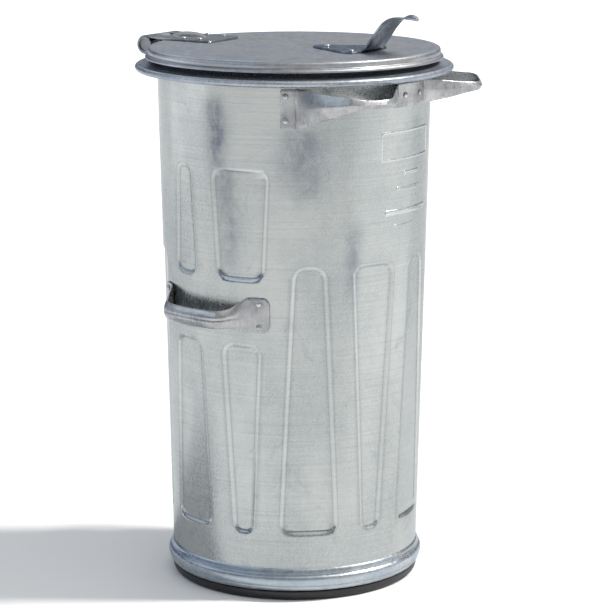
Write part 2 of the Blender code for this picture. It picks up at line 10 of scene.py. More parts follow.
import bmesh
import bpy
import numpy as np
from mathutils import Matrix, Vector


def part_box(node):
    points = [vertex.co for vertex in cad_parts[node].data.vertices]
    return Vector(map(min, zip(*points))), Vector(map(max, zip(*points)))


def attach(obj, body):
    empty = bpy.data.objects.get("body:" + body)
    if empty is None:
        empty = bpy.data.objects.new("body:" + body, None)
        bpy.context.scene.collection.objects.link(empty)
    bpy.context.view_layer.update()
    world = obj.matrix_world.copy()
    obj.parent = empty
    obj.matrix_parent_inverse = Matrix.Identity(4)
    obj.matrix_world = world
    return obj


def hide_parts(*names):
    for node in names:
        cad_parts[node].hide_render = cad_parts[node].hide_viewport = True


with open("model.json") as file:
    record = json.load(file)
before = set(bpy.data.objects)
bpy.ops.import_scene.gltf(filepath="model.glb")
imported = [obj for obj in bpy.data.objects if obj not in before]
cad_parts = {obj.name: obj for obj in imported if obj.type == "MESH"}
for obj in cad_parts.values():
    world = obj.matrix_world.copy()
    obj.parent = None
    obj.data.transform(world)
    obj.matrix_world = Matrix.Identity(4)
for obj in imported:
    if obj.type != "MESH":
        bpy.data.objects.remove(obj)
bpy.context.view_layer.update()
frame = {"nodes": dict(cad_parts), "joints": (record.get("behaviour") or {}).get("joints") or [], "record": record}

# ---- driving dimensions -------------------------------------------------------------------------
SHEET = 0.0012
RING_SHEET = 0.0015
STRAP = 0.0022
HINGE_STRAP = 0.0030
LEVER_STRAP = 0.0025
GAP = 0.0004

PANEL_COUNT = 12
PANEL_FIRST_AZ = 10.0
PANEL_DEPTH = 0.0027
PANEL_BEVEL = 0.0058
PANEL_LOW_Z = 0.092
PANEL_MID_Z = 0.469
PANEL_HIGH_Z = 0.600
PANEL_SPLIT_Z = (0.361, 0.445)
PANEL_NARROW_DEG = 3.2
PANEL_WIDE_DEG = 11.7
PANEL_CORNER = 0.0125
PANEL_FLATNESS = 0.40
OFF_PANEL = 3.0

BROAD_WAVE = 0.00022
FINE_WAVE = 0.00012
WAVE_LIMIT = 0.00025

LOOP_AZ = 33.0
LOWER_HANDLE_AZ = 98.9
TURN_STEPS = 288

CAMERA_AZ = -56.4
CAMERA_DISTANCE = 3.6
CAMERA_HEIGHT = 1.13
CAMERA_PITCH_DEG = 11.836
CAMERA_YAW_DEG = 0.29
CAMERA_LENS = 152.7
WORLD_STRENGTH = 0.42
KEY_STRENGTH = 3.6
KEY_AZ = 90.0
KEY_HEIGHT = math.radians(50.0)
KEY_ANGLE = math.radians(7.0)
DIM_SIDE = (0.17, 0.31, 0.58, 1.0)
BRIGHT_SIDE = (1.0, 0.985, 0.96, 1.0)

# Soft dark bluish streaks on the wall, painted dark reflections: azimuth and half width in degrees,
# lower z, upper z, strength.
PAINTED_REFLECTION_STREAKS = ((-90.0, 4.4, 0.560, 0.706, 0.74), (-86.0, 4.6, 0.430, 0.610, 0.46),
           (-31.5, 3.6, 0.380, 0.530, 0.36), (-53.5, 10.0, 0.530, 0.668, 0.52),
           (-141.0, 7.0, 0.480, 0.670, 0.30), (4.0, 8.0, 0.560, 0.680, 0.26),
           (58.0, 6.0, 0.500, 0.690, 0.38), (112.0, 9.0, 0.470, 0.640, 0.30),
           (171.0, 7.0, 0.520, 0.690, 0.36))


# ---- sizes read from the frame ------------------------------------------------------------------
def body_name(node):
    """Name of the body that a CAD node rides on."""
    bodies = frame["record"]["behaviour"]["bodies"]
    return next(name for name, members in bodies.items() if node in members)


def node_points(node):
    """The CAD node's vertices as an array."""
    mesh = frame["nodes"][node].data
    points = np.zeros(len(mesh.vertices) * 3)
    mesh.vertices.foreach_get("co", points)
    return points.reshape(-1, 3)


def radius_at(node, z, reach=0.002):
    """Largest radius of a CAD node's vertices near height z."""
    points = node_points(node)
    near = points[np.abs(points[:, 2] - z) < reach]
    return float(np.hypot(near[:, 0], near[:, 1]).max())


SHELL_LOW, SHELL_HIGH = (corner.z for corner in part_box("body_shell"))
RADIUS_LOW = radius_at("body_shell", SHELL_LOW)
RADIUS_HIGH = radius_at("body_shell", SHELL_HIGH)
RIM_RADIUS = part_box("rim_collar")[1].x
LID_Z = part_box("lid_shell")[1].z
LID_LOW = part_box("lid_shell")[0].z
LID_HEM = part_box("lid_shell")[1].x
HINGE = Vector(frame["joints"][0]["pos_m"])
KNUCKLE_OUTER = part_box("lid_hinge_strap")[1].y - HINGE.y


def wall_radius(z):
    """Outer radius of the drum wall at height z."""
    share = (z - SHELL_LOW) / (SHELL_HIGH - SHELL_LOW)
    return RADIUS_LOW + (RADIUS_HIGH - RADIUS_LOW) * share


def outward(azimuth):
    """Level direction away from the drum's axis."""
    angle = math.radians(azimuth)
    return Vector((math.sin(angle), -math.cos(angle), 0.0))


def sideways(azimuth):
    """Level direction along the wall, towards larger azimuths."""
    angle = math.radians(azimuth)
    return Vector((math.cos(angle), math.sin(angle), 0.0))


# ---- smooth value noise -------------------------------------------------------------------------
def waves(x, y, seed, octaves=4):
    """Sum of sines with fixed pseudo-random directions, between about -1 and 1."""
    rng = np.random.default_rng(seed)
    total = np.zeros(np.broadcast(x, y).shape)
    for _ in range(octaves * 2):
        angle, phase, rate = rng.uniform(0, 2 * math.pi, 2).tolist() + [rng.uniform(0.6, 1.7)]
        total += np.sin(rate * (x * math.cos(angle) + y * math.sin(angle)) + phase)
    return total / (octaves * 1.6)


# ---- mesh helpers -------------------------------------------------------------------------------
def add_piece(name, verts, faces, mat, node, sharp_deg=35.0, bevel=0.0):
    """Smooth-shaded piece that stands for a CAD node and rides on that node's body."""
    mesh = bpy.data.meshes.new(name)
    mesh.from_pydata(np.asarray(verts).tolist(), [], faces)
    work = bmesh.new()
    work.from_mesh(mesh)
    loose = [v for v in work.verts if not v.link_faces]
    bmesh.ops.delete(work, geom=loose, context="VERTS")
    bmesh.ops.recalc_face_normals(work, faces=work.faces)
    if work.calc_volume(signed=True) < 0.0:
        bmesh.ops.reverse_faces(work, faces=work.faces)
    work.to_mesh(mesh)
    work.free()
    mesh.shade_smooth()
    mesh.set_sharp_from_angle(angle=math.radians(sharp_deg))
    mesh.materials.append(mat)
    piece = bpy.data.objects.new(name, mesh)
    bpy.context.scene.collection.objects.link(piece)
    if bevel > 0.0:
        step = piece.modifiers.new("eased_edges", "BEVEL")
        step.width = bevel
        step.segments = 2
        step.limit_method = "ANGLE"
        step.angle_limit = math.radians(50.0)
        step.harden_normals = True
    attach(piece, body_name(node))
    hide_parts(node)
    return piece


def sheet_faces(rows, columns, wrap=False, mask=None):
    """Faces of a closed sheet between two grids stored one after the other."""
    index = np.arange(rows * columns).reshape(rows, columns)
    if wrap:
        index = np.vstack([index, index[:1]])
    cells = np.ones((index.shape[0] - 1, columns - 1), bool) if mask is None else mask
    a, b, c, d = index[:-1, :-1], index[1:, :-1], index[1:, 1:], index[:-1, 1:]
    back = rows * columns
    faces = np.stack([a, b, c, d], -1)[cells].tolist()
    faces += (np.stack([d, c, b, a], -1)[cells] + back).tolist()
    padded = np.pad(cells, 1)
    if wrap:
        padded[0, 1:-1], padded[-1, 1:-1] = cells[-1], cells[0]
    for i, j in zip(*np.nonzero(padded[1:-1, 1:] != padded[1:-1, :-1])):
        p, q = int(index[i, j]), int(index[i + 1, j])
        faces.append([p, q, q + back, p + back])
    across = padded[1:, 1:-1] != padded[:-1, 1:-1]
    if wrap:
        across[-1] = False
    for i, j in zip(*np.nonzero(across)):
        p, q = int(index[i, j]), int(index[i, j + 1])
        faces.append([p, q, q + back, p + back])
    return faces


def turned(profile, steps=TURN_STEPS):
    """Turn a closed (radius, z) outline round Z; points at radius 0 are joined on the axis."""
    verts, rings = [], []
    for radius, z in profile:
        if radius < 1e-7:
            rings.append([len(verts)] * steps)
            verts.append((0.0, 0.0, z))
            continue
        rings.append(list(range(len(verts), len(verts) + steps)))
        for k in range(steps):
            angle = 2.0 * math.pi * k / steps
            verts.append((radius * math.sin(angle), -radius * math.cos(angle), z))
    faces = []
    for i, ring in enumerate(rings):
        below = rings[(i + 1) % len(rings)]
        for k in range(steps):
            nxt = (k + 1) % steps
            face = list(dict.fromkeys([ring[k], ring[nxt], below[nxt], below[k]]))
            if len(face) > 2:
                faces.append(face)
    return np.array(verts), faces


def arc(centre, radius, start_deg, end_deg, steps):
    """Points on an arc, both ends included."""
    angles = np.radians(np.linspace(start_deg, end_deg, steps + 1))
    return [(centre[0] + radius * math.cos(a), centre[1] + radius * math.sin(a)) for a in angles]


def eased(corners, radius, steps=4):
    """Polyline with each inner corner replaced by a smooth bend that starts radius before it."""
    points = [corners[0]]
    for before, here, after in zip(corners, corners[1:], corners[2:]):
        b, h, a = Vector(before), Vector(here), Vector(after)
        reach = min(radius, 0.45 * (h - b).length, 0.45 * (a - h).length)
        start, end = h + (b - h).normalized() * reach, h + (a - h).normalized() * reach
        for k in range(steps + 1):
            t = k / steps
            points.append(tuple(start * (1 - t) ** 2 + h * (2 * t * (1 - t)) + end * t ** 2))
    return points + [corners[-1]]


def offset_path(path, distance):
    """Move a 2-D polyline sideways, to the right of its direction of travel."""
    points = np.array(path, float)
    step = np.diff(points, axis=0)
    step /= np.linalg.norm(step, axis=1)[:, None] + 1e-12
    along = np.vstack([step[:1], step[:-1] + step[1:], step[-1:]])
    along /= np.linalg.norm(along, axis=1)[:, None] + 1e-12
    cosine = np.concatenate([[1.0], np.sum(along[1:-1] * step[1:], axis=1), [1.0]])
    normal = np.stack([along[:, 1], -along[:, 0]], -1)
    return points + normal * (distance / np.maximum(cosine, 0.5))[:, None]


def sheet_outline(path, thickness):
    """Closed outline of a sheet of even thickness whose outer face follows the path."""
    back = offset_path(path, thickness)
    return [tuple(p) for p in path] + [tuple(p) for p in back[::-1]]


def fill_between(keys, steps):
    """Catmull-Rom curve through rows of numbers, with a number of steps between neighbours."""
    keys = np.array(keys, float)
    ends = np.vstack([keys[:1], keys, keys[-1:]])
    rows = []
    for i in range(len(keys) - 1):
        a, b, c, d = ends[i:i + 4]
        for t in np.arange(steps) / steps:
            rows.append(0.5 * (2 * b + (c - a) * t + (2 * a - 5 * b + 4 * c - d) * t ** 2
                               + (3 * b - a - 3 * c + d) * t ** 3))
    rows.append(keys[-1])
    return np.array(rows)


# ---- materials ----------------------------------------------------------------------------------
class Graph:
    """Short way to build a material's nodes."""

    def __init__(self, name):
        self.material = bpy.data.materials.new(name)
        self.material.use_nodes = True
        self.tree = self.material.node_tree
        self.shader = self.tree.nodes["Principled BSDF"]
        self.place = self.add("ShaderNodeTexCoord").outputs["Object"]

    def add(self, kind, **settings):
        node = self.tree.nodes.new(kind)
        for key, value in settings.items():
            setattr(node, key, value)
        return node

    def link(self, source, target):
        self.tree.links.new(source, target)

    def scaled(self, scale):
        """Place on the object, with each axis stretched by a scale."""
        mapping = self.add("ShaderNodeMapping")
        mapping.inputs["Scale"].default_value = scale
        self.link(self.place, mapping.inputs["Vector"])
        return mapping.outputs["Vector"]

    def noise(self, scale, detail=3.0, rough=0.5, distortion=0.0):
        node = self.add("ShaderNodeTexNoise")
        node.inputs["Scale"].default_value = 1.0
        node.inputs["Detail"].default_value = detail
        node.inputs["Roughness"].default_value = rough
        node.inputs["Distortion"].default_value = distortion
        self.link(self.scaled(scale), node.inputs["Vector"])
        return node.outputs["Fac"]

    def cells(self, scale):
        """Random grey value for each crystal of the zinc."""
        node = self.add("ShaderNodeTexVoronoi", feature="F1")
        node.inputs["Scale"].default_value = 1.0
        self.link(self.scaled(scale), node.inputs["Vector"])
        grey = self.add("ShaderNodeSeparateColor")
        self.link(node.outputs["Color"], grey.inputs["Color"])
        return grey.outputs["Red"]

    def ranged(self, value, low, high, to_low, to_high):
        """Value moved smoothly from one range of numbers to another."""
        node = self.add("ShaderNodeMapRange", interpolation_type="SMOOTHSTEP")
        for key, number in (("From Min", low), ("From Max", high), ("To Min", to_low), ("To Max", to_high)):
            node.inputs[key].default_value = number
        self.link(value, node.inputs["Value"])
        return node.outputs["Result"]

    def maths(self, operation, first, second):
        node = self.add("ShaderNodeMath", operation=operation)
        for socket, value in zip(node.inputs, (first, second)):
            if isinstance(value, (int, float)):
                socket.default_value = value
            else:
                self.link(value, socket)
        return node.outputs["Value"]

    def mixed(self, share, first, second):
        """Colour that goes from the first tone to the second as the share goes from 0 to 1."""
        node = self.add("ShaderNodeMix", data_type="RGBA")
        self.link(share, node.inputs["Factor"])
        for key, value in (("A", first), ("B", second)):
            socket = next(s for s in node.inputs if s.name == key and s.type == "RGBA")
            if isinstance(value, tuple):
                socket.default_value = (*value, 1.0)
            else:
                self.link(value, socket)
        return next(s for s in node.outputs if s.type == "RGBA")

    def stored(self, name):
        """A number stored on the mesh's points."""
        node = self.add("ShaderNodeAttribute", attribute_type="GEOMETRY", attribute_name=name)
        return node.outputs["Fac"]

    def bump(self, height, distance, strength=1.0):
        node = self.add("ShaderNodeBump")
        node.inputs["Strength"].default_value = strength
        node.inputs["Distance"].default_value = distance
        self.link(height, node.inputs["Height"])
        self.link(node.outputs["Normal"], self.shader.inputs["Normal"])


# Tones that are laid over the zinc's own.
FROST = (0.86, 0.88, 0.90)
POLISH = (0.80, 0.82, 0.83)
# Paler edge tone: partly wear, partly a painted highlight on the panels' brows.
WORN_EDGE_SHEEN = (0.80, 0.82, 0.82)
SCRATCH = (0.14, 0.145, 0.155)
STAIN = (0.14, 0.145, 0.16)
# Dark bluish tone of the painted reflection streaks.
DARK_REFLECTION = (0.050, 0.075, 0.125)
# Painted shade for the panels' folds.
FOLD_SHADE = (0.12, 0.13, 0.145)
# Painted shade for the rim's gutter under the lid's hem.
GUTTER_SHADE = (0.045, 0.045, 0.05)


def zinc(name, light, dark, rough=(0.26, 0.40), painted_shade=None, stored_marks=False, stain=0.0, stain_size=38.0,
         grain=(7.0, 7.0, 620.0), grain_height=0.00010, spangle=(230.0, 230.0, 170.0),
         spangle_share=0.10, blotch=(9.0, 9.0, 5.0), metallic=1.0):
    """Hot-dip zinc: soft blotches, small crystals, fine rolling lines and a few stains.

    A ring between four radii can be darkened with painted shade. A mesh's stored marks can be read: painted
    reflection streaks, wear with a painted highlight, and painted shade in the panels' folds.
    """
    g = Graph(name)
    cloud = g.ranged(g.noise(blotch, 4.0, 0.55), 0.32, 0.68, 0.0, 1.0)
    crystal = g.cells(spangle)
    lines = g.noise(grain, 2.0, 0.6)
    specks = g.noise((900.0, 900.0, 700.0), 2.0, 0.6)
    tone = g.mixed(cloud, dark, light)
    tone = g.mixed(g.ranged(crystal, 0.0, 1.0, 0.0, spangle_share), tone, FROST)
    tone = g.mixed(g.ranged(lines, 0.52, 0.72, 0.0, 0.09), tone, POLISH)
    tone = g.mixed(g.ranged(lines, 0.46, 0.28, 0.0, 0.16), tone, SCRATCH)
    if stain > 0.0:
        spread = g.noise((stain_size, stain_size, 0.7 * stain_size), 6.0, 0.7, 1.5)
        tone = g.mixed(g.ranged(spread, 0.56, 0.74, 0.0, stain), tone, STAIN)
    if stored_marks:
        patchy = g.ranged(g.noise((70.0, 70.0, 50.0), 5.0, 0.7), 0.30, 0.62, 0.45, 1.0)
        # Painted reflection: dark bluish streaks down the wall.
        tone = g.mixed(g.maths("MULTIPLY", g.stored("painted_reflection"), patchy), tone, DARK_REFLECTION)
        # Paler near the panels' brows: partly wear, partly a painted highlight.
        tone = g.mixed(g.maths("MULTIPLY", g.stored("wear_and_sheen"), 0.16), tone, WORN_EDGE_SHEEN)
        # Painted shade in the panels' folds and just past their brows.
        tone = g.mixed(g.maths("MULTIPLY", g.stored("painted_shade"), 0.42), tone, FOLD_SHADE)
    # Painted shade: a ring between four radii is darkened where the lid's hem shades the rim.
    if painted_shade is not None:
        reach = g.add("ShaderNodeVectorMath", operation="LENGTH")
        g.link(g.scaled((1.0, 1.0, 0.0)), reach.inputs[0])
        shade_ring = g.maths("MULTIPLY", g.ranged(reach.outputs["Value"], painted_shade[0], painted_shade[1], 0.0, 1.0),
                       g.ranged(reach.outputs["Value"], painted_shade[2], painted_shade[3], 1.0, 0.0))
        tone = g.mixed(g.maths("MULTIPLY", shade_ring, 0.55), tone, GUTTER_SHADE)
    g.link(tone, g.shader.inputs["Base Color"])
    finish = g.maths("ADD", g.ranged(cloud, 0.0, 1.0, rough[1], rough[0]),
                     g.ranged(crystal, 0.0, 1.0, -0.04, 0.05))
    finish = g.maths("ADD", finish, g.ranged(specks, 0.35, 0.65, -0.03, 0.04))
    g.link(finish, g.shader.inputs["Roughness"])
    g.shader.inputs["Metallic"].default_value = metallic
    g.shader.inputs["Specular Tint"].default_value = (0.72, 0.74, 0.76, 1.0)
    height = g.maths("ADD", lines, g.maths("MULTIPLY", crystal, 0.35))
    g.bump(height, grain_height)
    return g.material


def rubber(name):
    """Matte black rubber with a fine moulded grain and grey scuffs."""
    g = Graph(name)
    scuff = g.ranged(g.noise((60.0, 60.0, 160.0), 5.0, 0.7), 0.56, 0.76, 0.0, 0.55)
    tone = g.mixed(scuff, (0.010, 0.010, 0.013), (0.050, 0.050, 0.055))
    g.link(tone, g.shader.inputs["Base Color"])
    g.link(g.ranged(scuff, 0.0, 0.5, 0.48, 0.72), g.shader.inputs["Roughness"])
    g.bump(g.noise((1500.0, 1500.0, 1500.0), 2.0), 0.00012, 0.6)
    return g.material


BODY_ZINC = zinc("body_zinc", (0.43, 0.45, 0.447), (0.35, 0.375, 0.38), rough=(0.18, 0.27),
                 stored_marks=True, metallic=0.94, stain=0.30, stain_size=15.0,
                 spangle=(330.0, 330.0, 240.0), spangle_share=0.07)
INSIDE_ZINC = zinc("inside_zinc", (0.62, 0.64, 0.65), (0.50, 0.52, 0.54), rough=(0.38, 0.52),
                   stain=0.3, metallic=0.70)
# Paler zinc for the raised marks: a painted highlight where their edges catch the light.
MARK_HIGHLIGHT_ZINC = zinc("mark_highlight_zinc", (0.62, 0.64, 0.64), (0.46, 0.48, 0.49), rough=(0.20, 0.30))
# The rim's ring from radius 0.1905 to 0.2040, under the lid's hem, gets painted shade.
RIM_ZINC = zinc("rim_zinc", (0.37, 0.40, 0.45), (0.25, 0.28, 0.33), rough=(0.26, 0.38),
                grain=(40.0, 40.0, 500.0), metallic=0.75, painted_shade=(0.1905, 0.1935, 0.1990, 0.2040))
FOOT_ZINC = zinc("foot_zinc", (0.46, 0.50, 0.53), (0.34, 0.39, 0.44), rough=(0.24, 0.36),
                 grain=(30.0, 30.0, 500.0), stain=0.35)
LID_ZINC = zinc("lid_zinc", (0.385, 0.405, 0.44), (0.270, 0.268, 0.272), rough=(0.36, 0.50),
                grain=(14.0, 300.0, 300.0), grain_height=0.00006, blotch=(12.0, 8.0, 9.0),
                spangle_share=0.05, stain=0.30)
PLATE_ZINC = zinc("plate_zinc", (0.33, 0.34, 0.35), (0.19, 0.20, 0.22), rough=(0.24, 0.38),
                  grain=(12.0, 260.0, 260.0), spangle_share=0.06, stain=0.35)
HANDLE_ZINC = zinc("handle_zinc", (0.40, 0.405, 0.41), (0.25, 0.255, 0.27), rough=(0.20, 0.32),
                   metallic=0.66, grain=(60.0, 60.0, 420.0), grain_height=0.00007,
                   blotch=(30.0, 30.0, 24.0), stain=0.30)
LEVER_ZINC = zinc("lever_zinc", (0.50, 0.54, 0.62), (0.15, 0.16, 0.19), rough=(0.14, 0.28),
                  grain=(90.0, 30.0, 60.0), grain_height=0.00006, blotch=(70.0, 20.0, 24.0), stain=0.3)
RIVET_ZINC = zinc("rivet_zinc", (0.52, 0.53, 0.54), (0.33, 0.34, 0.36), rough=(0.22, 0.34),
                  blotch=(160.0, 160.0, 160.0), stain=0.3)
RUBBER = rubber("foot_rubber_black")


# ---- drum ---------------------------------------------------------------------------------------
def panel_half_width(number, z):
    """Half width in degrees of a panel at height z; every second panel is widest at the foot."""
    share = np.clip((z - PANEL_LOW_Z) / (PANEL_HIGH_Z - PANEL_LOW_Z), 0.0, 1.0)
    if number % 2:
        share = 1.0 - share
    return PANEL_WIDE_DEG + (PANEL_NARROW_DEG - PANEL_WIDE_DEG) * share


def panel_spans(azimuth):
    """Height ranges of the panels in one column: two beside a lower handle, one elsewhere."""
    away = min(abs((azimuth - side * LOWER_HANDLE_AZ + 180.0) % 360.0 - 180.0) for side in (-1, 1))
    if away < 40.0:
        return ((PANEL_LOW_Z, PANEL_SPLIT_Z[0]), (PANEL_SPLIT_Z[1], PANEL_HIGH_Z))
    return ((PANEL_LOW_Z, PANEL_MID_Z),)


def smooth_step(value):
    """0 below 0, 1 above 1 and an even slope at both ends."""
    value = np.clip(value, 0.0, 1.0)
    return value * value * (3.0 - 2.0 * value)


def panel_form(number, offset_deg, z):
    """Depth of the pressed sheet, and the place across the bevel: 0 at its foot, 1 at its brow."""
    depth = np.zeros(np.broadcast(offset_deg, z).shape)
    place = np.full(depth.shape, OFF_PANEL)
    half = panel_half_width(number, z)
    radius = wall_radius(z)
    for low, high in panel_spans(PANEL_FIRST_AZ + number * 360.0 / PANEL_COUNT):
        beside = np.radians(np.abs(offset_deg) - half) * radius
        beyond = np.maximum(z - high, low - z) + PANEL_BEVEL
        corner = np.minimum(PANEL_CORNER, 0.75 * np.radians(half) * radius)
        x, y = beside + corner, beyond + corner
        rounded = np.hypot(np.maximum(x, 0.0), np.maximum(y, 0.0))
        distance = np.minimum(np.maximum(x, y), 0.0) + rounded - corner
        share = np.clip(distance / PANEL_BEVEL, 0.0, 1.0)
        bevel = 1.0 - (0.55 * share + 0.45 * smooth_step(share))
        half_run = np.radians(half) * radius
        flat = np.maximum(half_run ** 2 - (np.radians(offset_deg) * radius) ** 2, 0.0) / (2.0 * radius)
        depth = np.maximum(depth, PANEL_DEPTH * bevel + PANEL_FLATNESS * flat * (distance <= 0.0))
        place = np.minimum(place, distance / PANEL_BEVEL)
    return depth, place


def wall_heights():
    """Rows of the wall: even, and closer together where a panel ends."""
    rows = set(np.round(np.linspace(SHELL_LOW, SHELL_HIGH, 84), 5).tolist())
    for level in (PANEL_LOW_Z, *PANEL_SPLIT_Z, PANEL_MID_Z, PANEL_HIGH_Z):
        rows.update(np.round(np.linspace(level - 0.018, level + 0.018, 25), 5).tolist())
    return np.array(sorted(rows))


def sector_columns(half):
    """Offsets in degrees of a sector's columns, closer together on the panel's two edges."""
    near, far = half - 0.3, half + 2.1
    parts = [(-15.0, -far, 4), (-far, -near, 9), (-near, near, 10), (near, far, 9), (far, 15.0, 4)]
    return np.concatenate([np.linspace(a, b, n, endpoint=False) for a, b, n in parts])


def mark_wall(wall, verts, across):
    """Store the wall's painted marks and wear; across is the place on a panel's bevel.

    A bevel is paler near its brow, partly worn and partly a painted highlight. Painted shade lies in the fold at
    its foot and just past the brow, and dark streaks of painted reflection run down the wall.
    """
    # Paler near the brow: partly wear, partly a painted highlight on the bevel's edge.
    wear_and_sheen = np.exp(-((across - 0.62) / 0.34) ** 2)
    # Painted shade: darker in the fold at the bevel's foot and just past its brow.
    painted_shade = np.exp(-((across + 0.02) / 0.13) ** 2) + 0.7 * np.exp(-((across - 1.12) / 0.13) ** 2)
    heading = np.degrees(np.arctan2(verts[:, 0], -verts[:, 1]))
    painted_reflection = np.zeros(len(verts))
    # Painted reflection: dark bluish streaks at the listed azimuths and heights.
    for azimuth, half, low, high, strength in PAINTED_REFLECTION_STREAKS:
        aside = (heading - azimuth + 180.0) % 360.0 - 180.0
        aside += 1.5 * waves(verts[:, 2] * 60.0, aside * 0.02, 31)
        ends = smooth_step((verts[:, 2] - low) / 0.08) * smooth_step((high - verts[:, 2]) / 0.03)
        painted_reflection += strength * np.exp(-(aside / half) ** 2) * ends
    for name, values in (("wear_and_sheen", wear_and_sheen), ("painted_shade", painted_shade), ("painted_reflection", painted_reflection)):
        layer = wall.data.attributes.new(name, "FLOAT", "POINT")
        layer.data.foreach_set("value", values.astype(np.float32))


def make_wall():
    """The drum wall: pressed panels, a slightly uneven sheet and a duller inner face."""
    heights = wall_heights()
    front, back, places = [], [], []
    for number in range(PANEL_COUNT):
        centre = PANEL_FIRST_AZ + number * 360.0 / PANEL_COUNT
        offsets = np.array([sector_columns(float(panel_half_width(number, z))) for z in heights]).T
        for row in offsets:
            depth, place = panel_form(number, row, heights)
            places.append(place)
            azimuth = np.radians(centre + row)
            around = np.stack([np.sin(azimuth), -np.cos(azimuth)], -1)
            uneven = BROAD_WAVE * waves(around[:, 0] * 9.0, around[:, 1] * 9.0 + heights * 16.0, 3)
            uneven += FINE_WAVE * waves(around[:, 0] * 26.0, around[:, 1] * 26.0 + heights * 60.0, 5)
            radius = wall_radius(heights) - depth + np.minimum(uneven, WAVE_LIMIT)
            front.append(np.column_stack([around * radius[:, None], heights]))
            back.append(np.column_stack([around * (radius - SHEET)[:, None], heights]))
    front, back = np.array(front), np.array(back)
    faces = sheet_faces(front.shape[0], front.shape[1], wrap=True)
    verts = np.concatenate([front.reshape(-1, 3), back.reshape(-1, 3)])
    wall = add_piece("drum_wall", verts, faces, BODY_ZINC, "body_shell", 60.0)
    wall.data.materials.append(INSIDE_ZINC)
    side_count = front.shape[0] * (front.shape[1] - 1)
    material_index = np.zeros(len(faces), np.int32)
    material_index[side_count:2 * side_count] = 1
    wall.data.polygons.foreach_set("material_index", material_index)
    mark_wall(wall, verts, np.concatenate([np.concatenate(places), np.full(len(verts) // 2, OFF_PANEL)]))


def rounded_ring(half_x, half_z, corner, inset, spacing=0.003):
    """Points round a rounded rectangle drawn in by an inset, with the long sides divided evenly."""
    core = max(corner - inset, 0.00005)
    ring = []
    for k, (sign_x, sign_z) in enumerate(((1, 1), (-1, 1), (-1, -1), (1, -1))):
        for a in np.radians(np.linspace(90.0 * k, 90.0 * k + 90.0, 6)):
            ring.append((sign_x * (half_x - corner) + core * math.cos(a),
                         sign_z * (half_z - corner) + core * math.sin(a)))
    steps = max(2, int(2.0 * (half_x - corner) / spacing))
    dense = []
    for k, (here, after) in enumerate(zip(ring, ring[1:] + ring[:1])):
        count = steps if k in (5, 17) else 1
        dense += [(here[0] + (after[0] - here[0]) * t / count, here[1] + (after[1] - here[1]) * t / count)
                  for t in range(count)]
    return dense


def make_marking():
    """Generic raised marking on the wall: an empty frame above plain bars.

    A step is how far in from a shape's outline and how far out from the wall its surface is.
    """
    frame_steps = ((0.0, -0.0003), (0.0008, 0.0002), (0.0016, 0.0006), (0.0024, 0.00075), (0.0032, 0.0006),
                   (0.0040, 0.0002), (0.0048, -0.0003))
    bar_steps = ((0.0, -0.0003), (0.0008, 0.0004), (0.0016, 0.0009), (0.0024, 0.0011))
    shapes = [(-18.5, 17.5, 0.6030, 0.6450, 0.0060, frame_steps),
              (-4.5, 7.5, 0.5820, 0.5890, 0.0035, bar_steps),
              (-9.0, 9.5, 0.5610, 0.5680, 0.0035, bar_steps),
              (-15.5, 16.5, 0.5280, 0.5375, 0.0045, bar_steps),
              (-10.0, 4.0, 0.5120, 0.5170, 0.0025, bar_steps)]
    for number, (left, right, low, high, corner, steps) in enumerate(shapes):
        centre_az, centre_z = 0.5 * (left + right), 0.5 * (low + high)
        half_x, half_z = math.radians(right - left) * 0.5 * wall_radius(centre_z), 0.5 * (high - low)
        verts, faces = [], []
        for inset, rise in steps:
            for along, up in rounded_ring(half_x, half_z, corner, min(inset, corner - 0.0001)):
                place = outward(centre_az + math.degrees(along / wall_radius(centre_z)))
                place *= wall_radius(centre_z + up) + rise
                verts.append((place.x, place.y, centre_z + up))
        count = len(verts) // len(steps)
        hollow = steps is frame_steps
        for level in range(len(steps) if hollow else len(steps) - 1):
            low_ring, high_ring = level * count, (level + 1) % len(steps) * count
            faces += [(low_ring + k, low_ring + (k + 1) % count, high_ring + (k + 1) % count, high_ring + k)
                      for k in range(count)]
        if not hollow:
            faces += [tuple(range(count)), tuple(range((len(steps) - 1) * count, len(steps) * count))]
        add_piece(f"raised_mark_{number + 1}", verts, faces, MARK_HIGHLIGHT_ZINC, "body_shell", 70.0)


def make_rim():
    """Conical rim with a rolled bead, turned back under to the wall."""
    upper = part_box("rim_collar")[1].z
    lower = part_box("rim_collar")[0].z
    bead, bead_z = 0.0045, 0.7177
    centre = (RIM_RADIUS - bead, bead_z)
    start = wall_radius(upper) + GAP + RING_SHEET
    gutter = eased([(start, upper), (0.1945, 0.7262), (0.2050, 0.7210), (0.2125, 0.7212),
                    (centre[0] - 0.0012, bead_z + bead - 0.0003)], 0.004)
    path = gutter[:-1] + arc(centre, bead, 96.0, -92.0, 16)
    path += eased([(centre[0] - 0.004, bead_z - bead - 0.0002), (0.1990, 0.7118),
                   (wall_radius(lower) + GAP + RING_SHEET, lower)], 0.004)
    verts, faces = turned(sheet_outline(path, RING_SHEET))
    swell = 1.0 + 0.0008 * np.minimum(waves(verts[:, 0] * 20.0, verts[:, 1] * 20.0, 11), 0.0)[:, None]
    verts[:, :2] *= swell
    add_piece("rim_ring", verts, faces, RIM_ZINC, "rim_collar", 50.0)


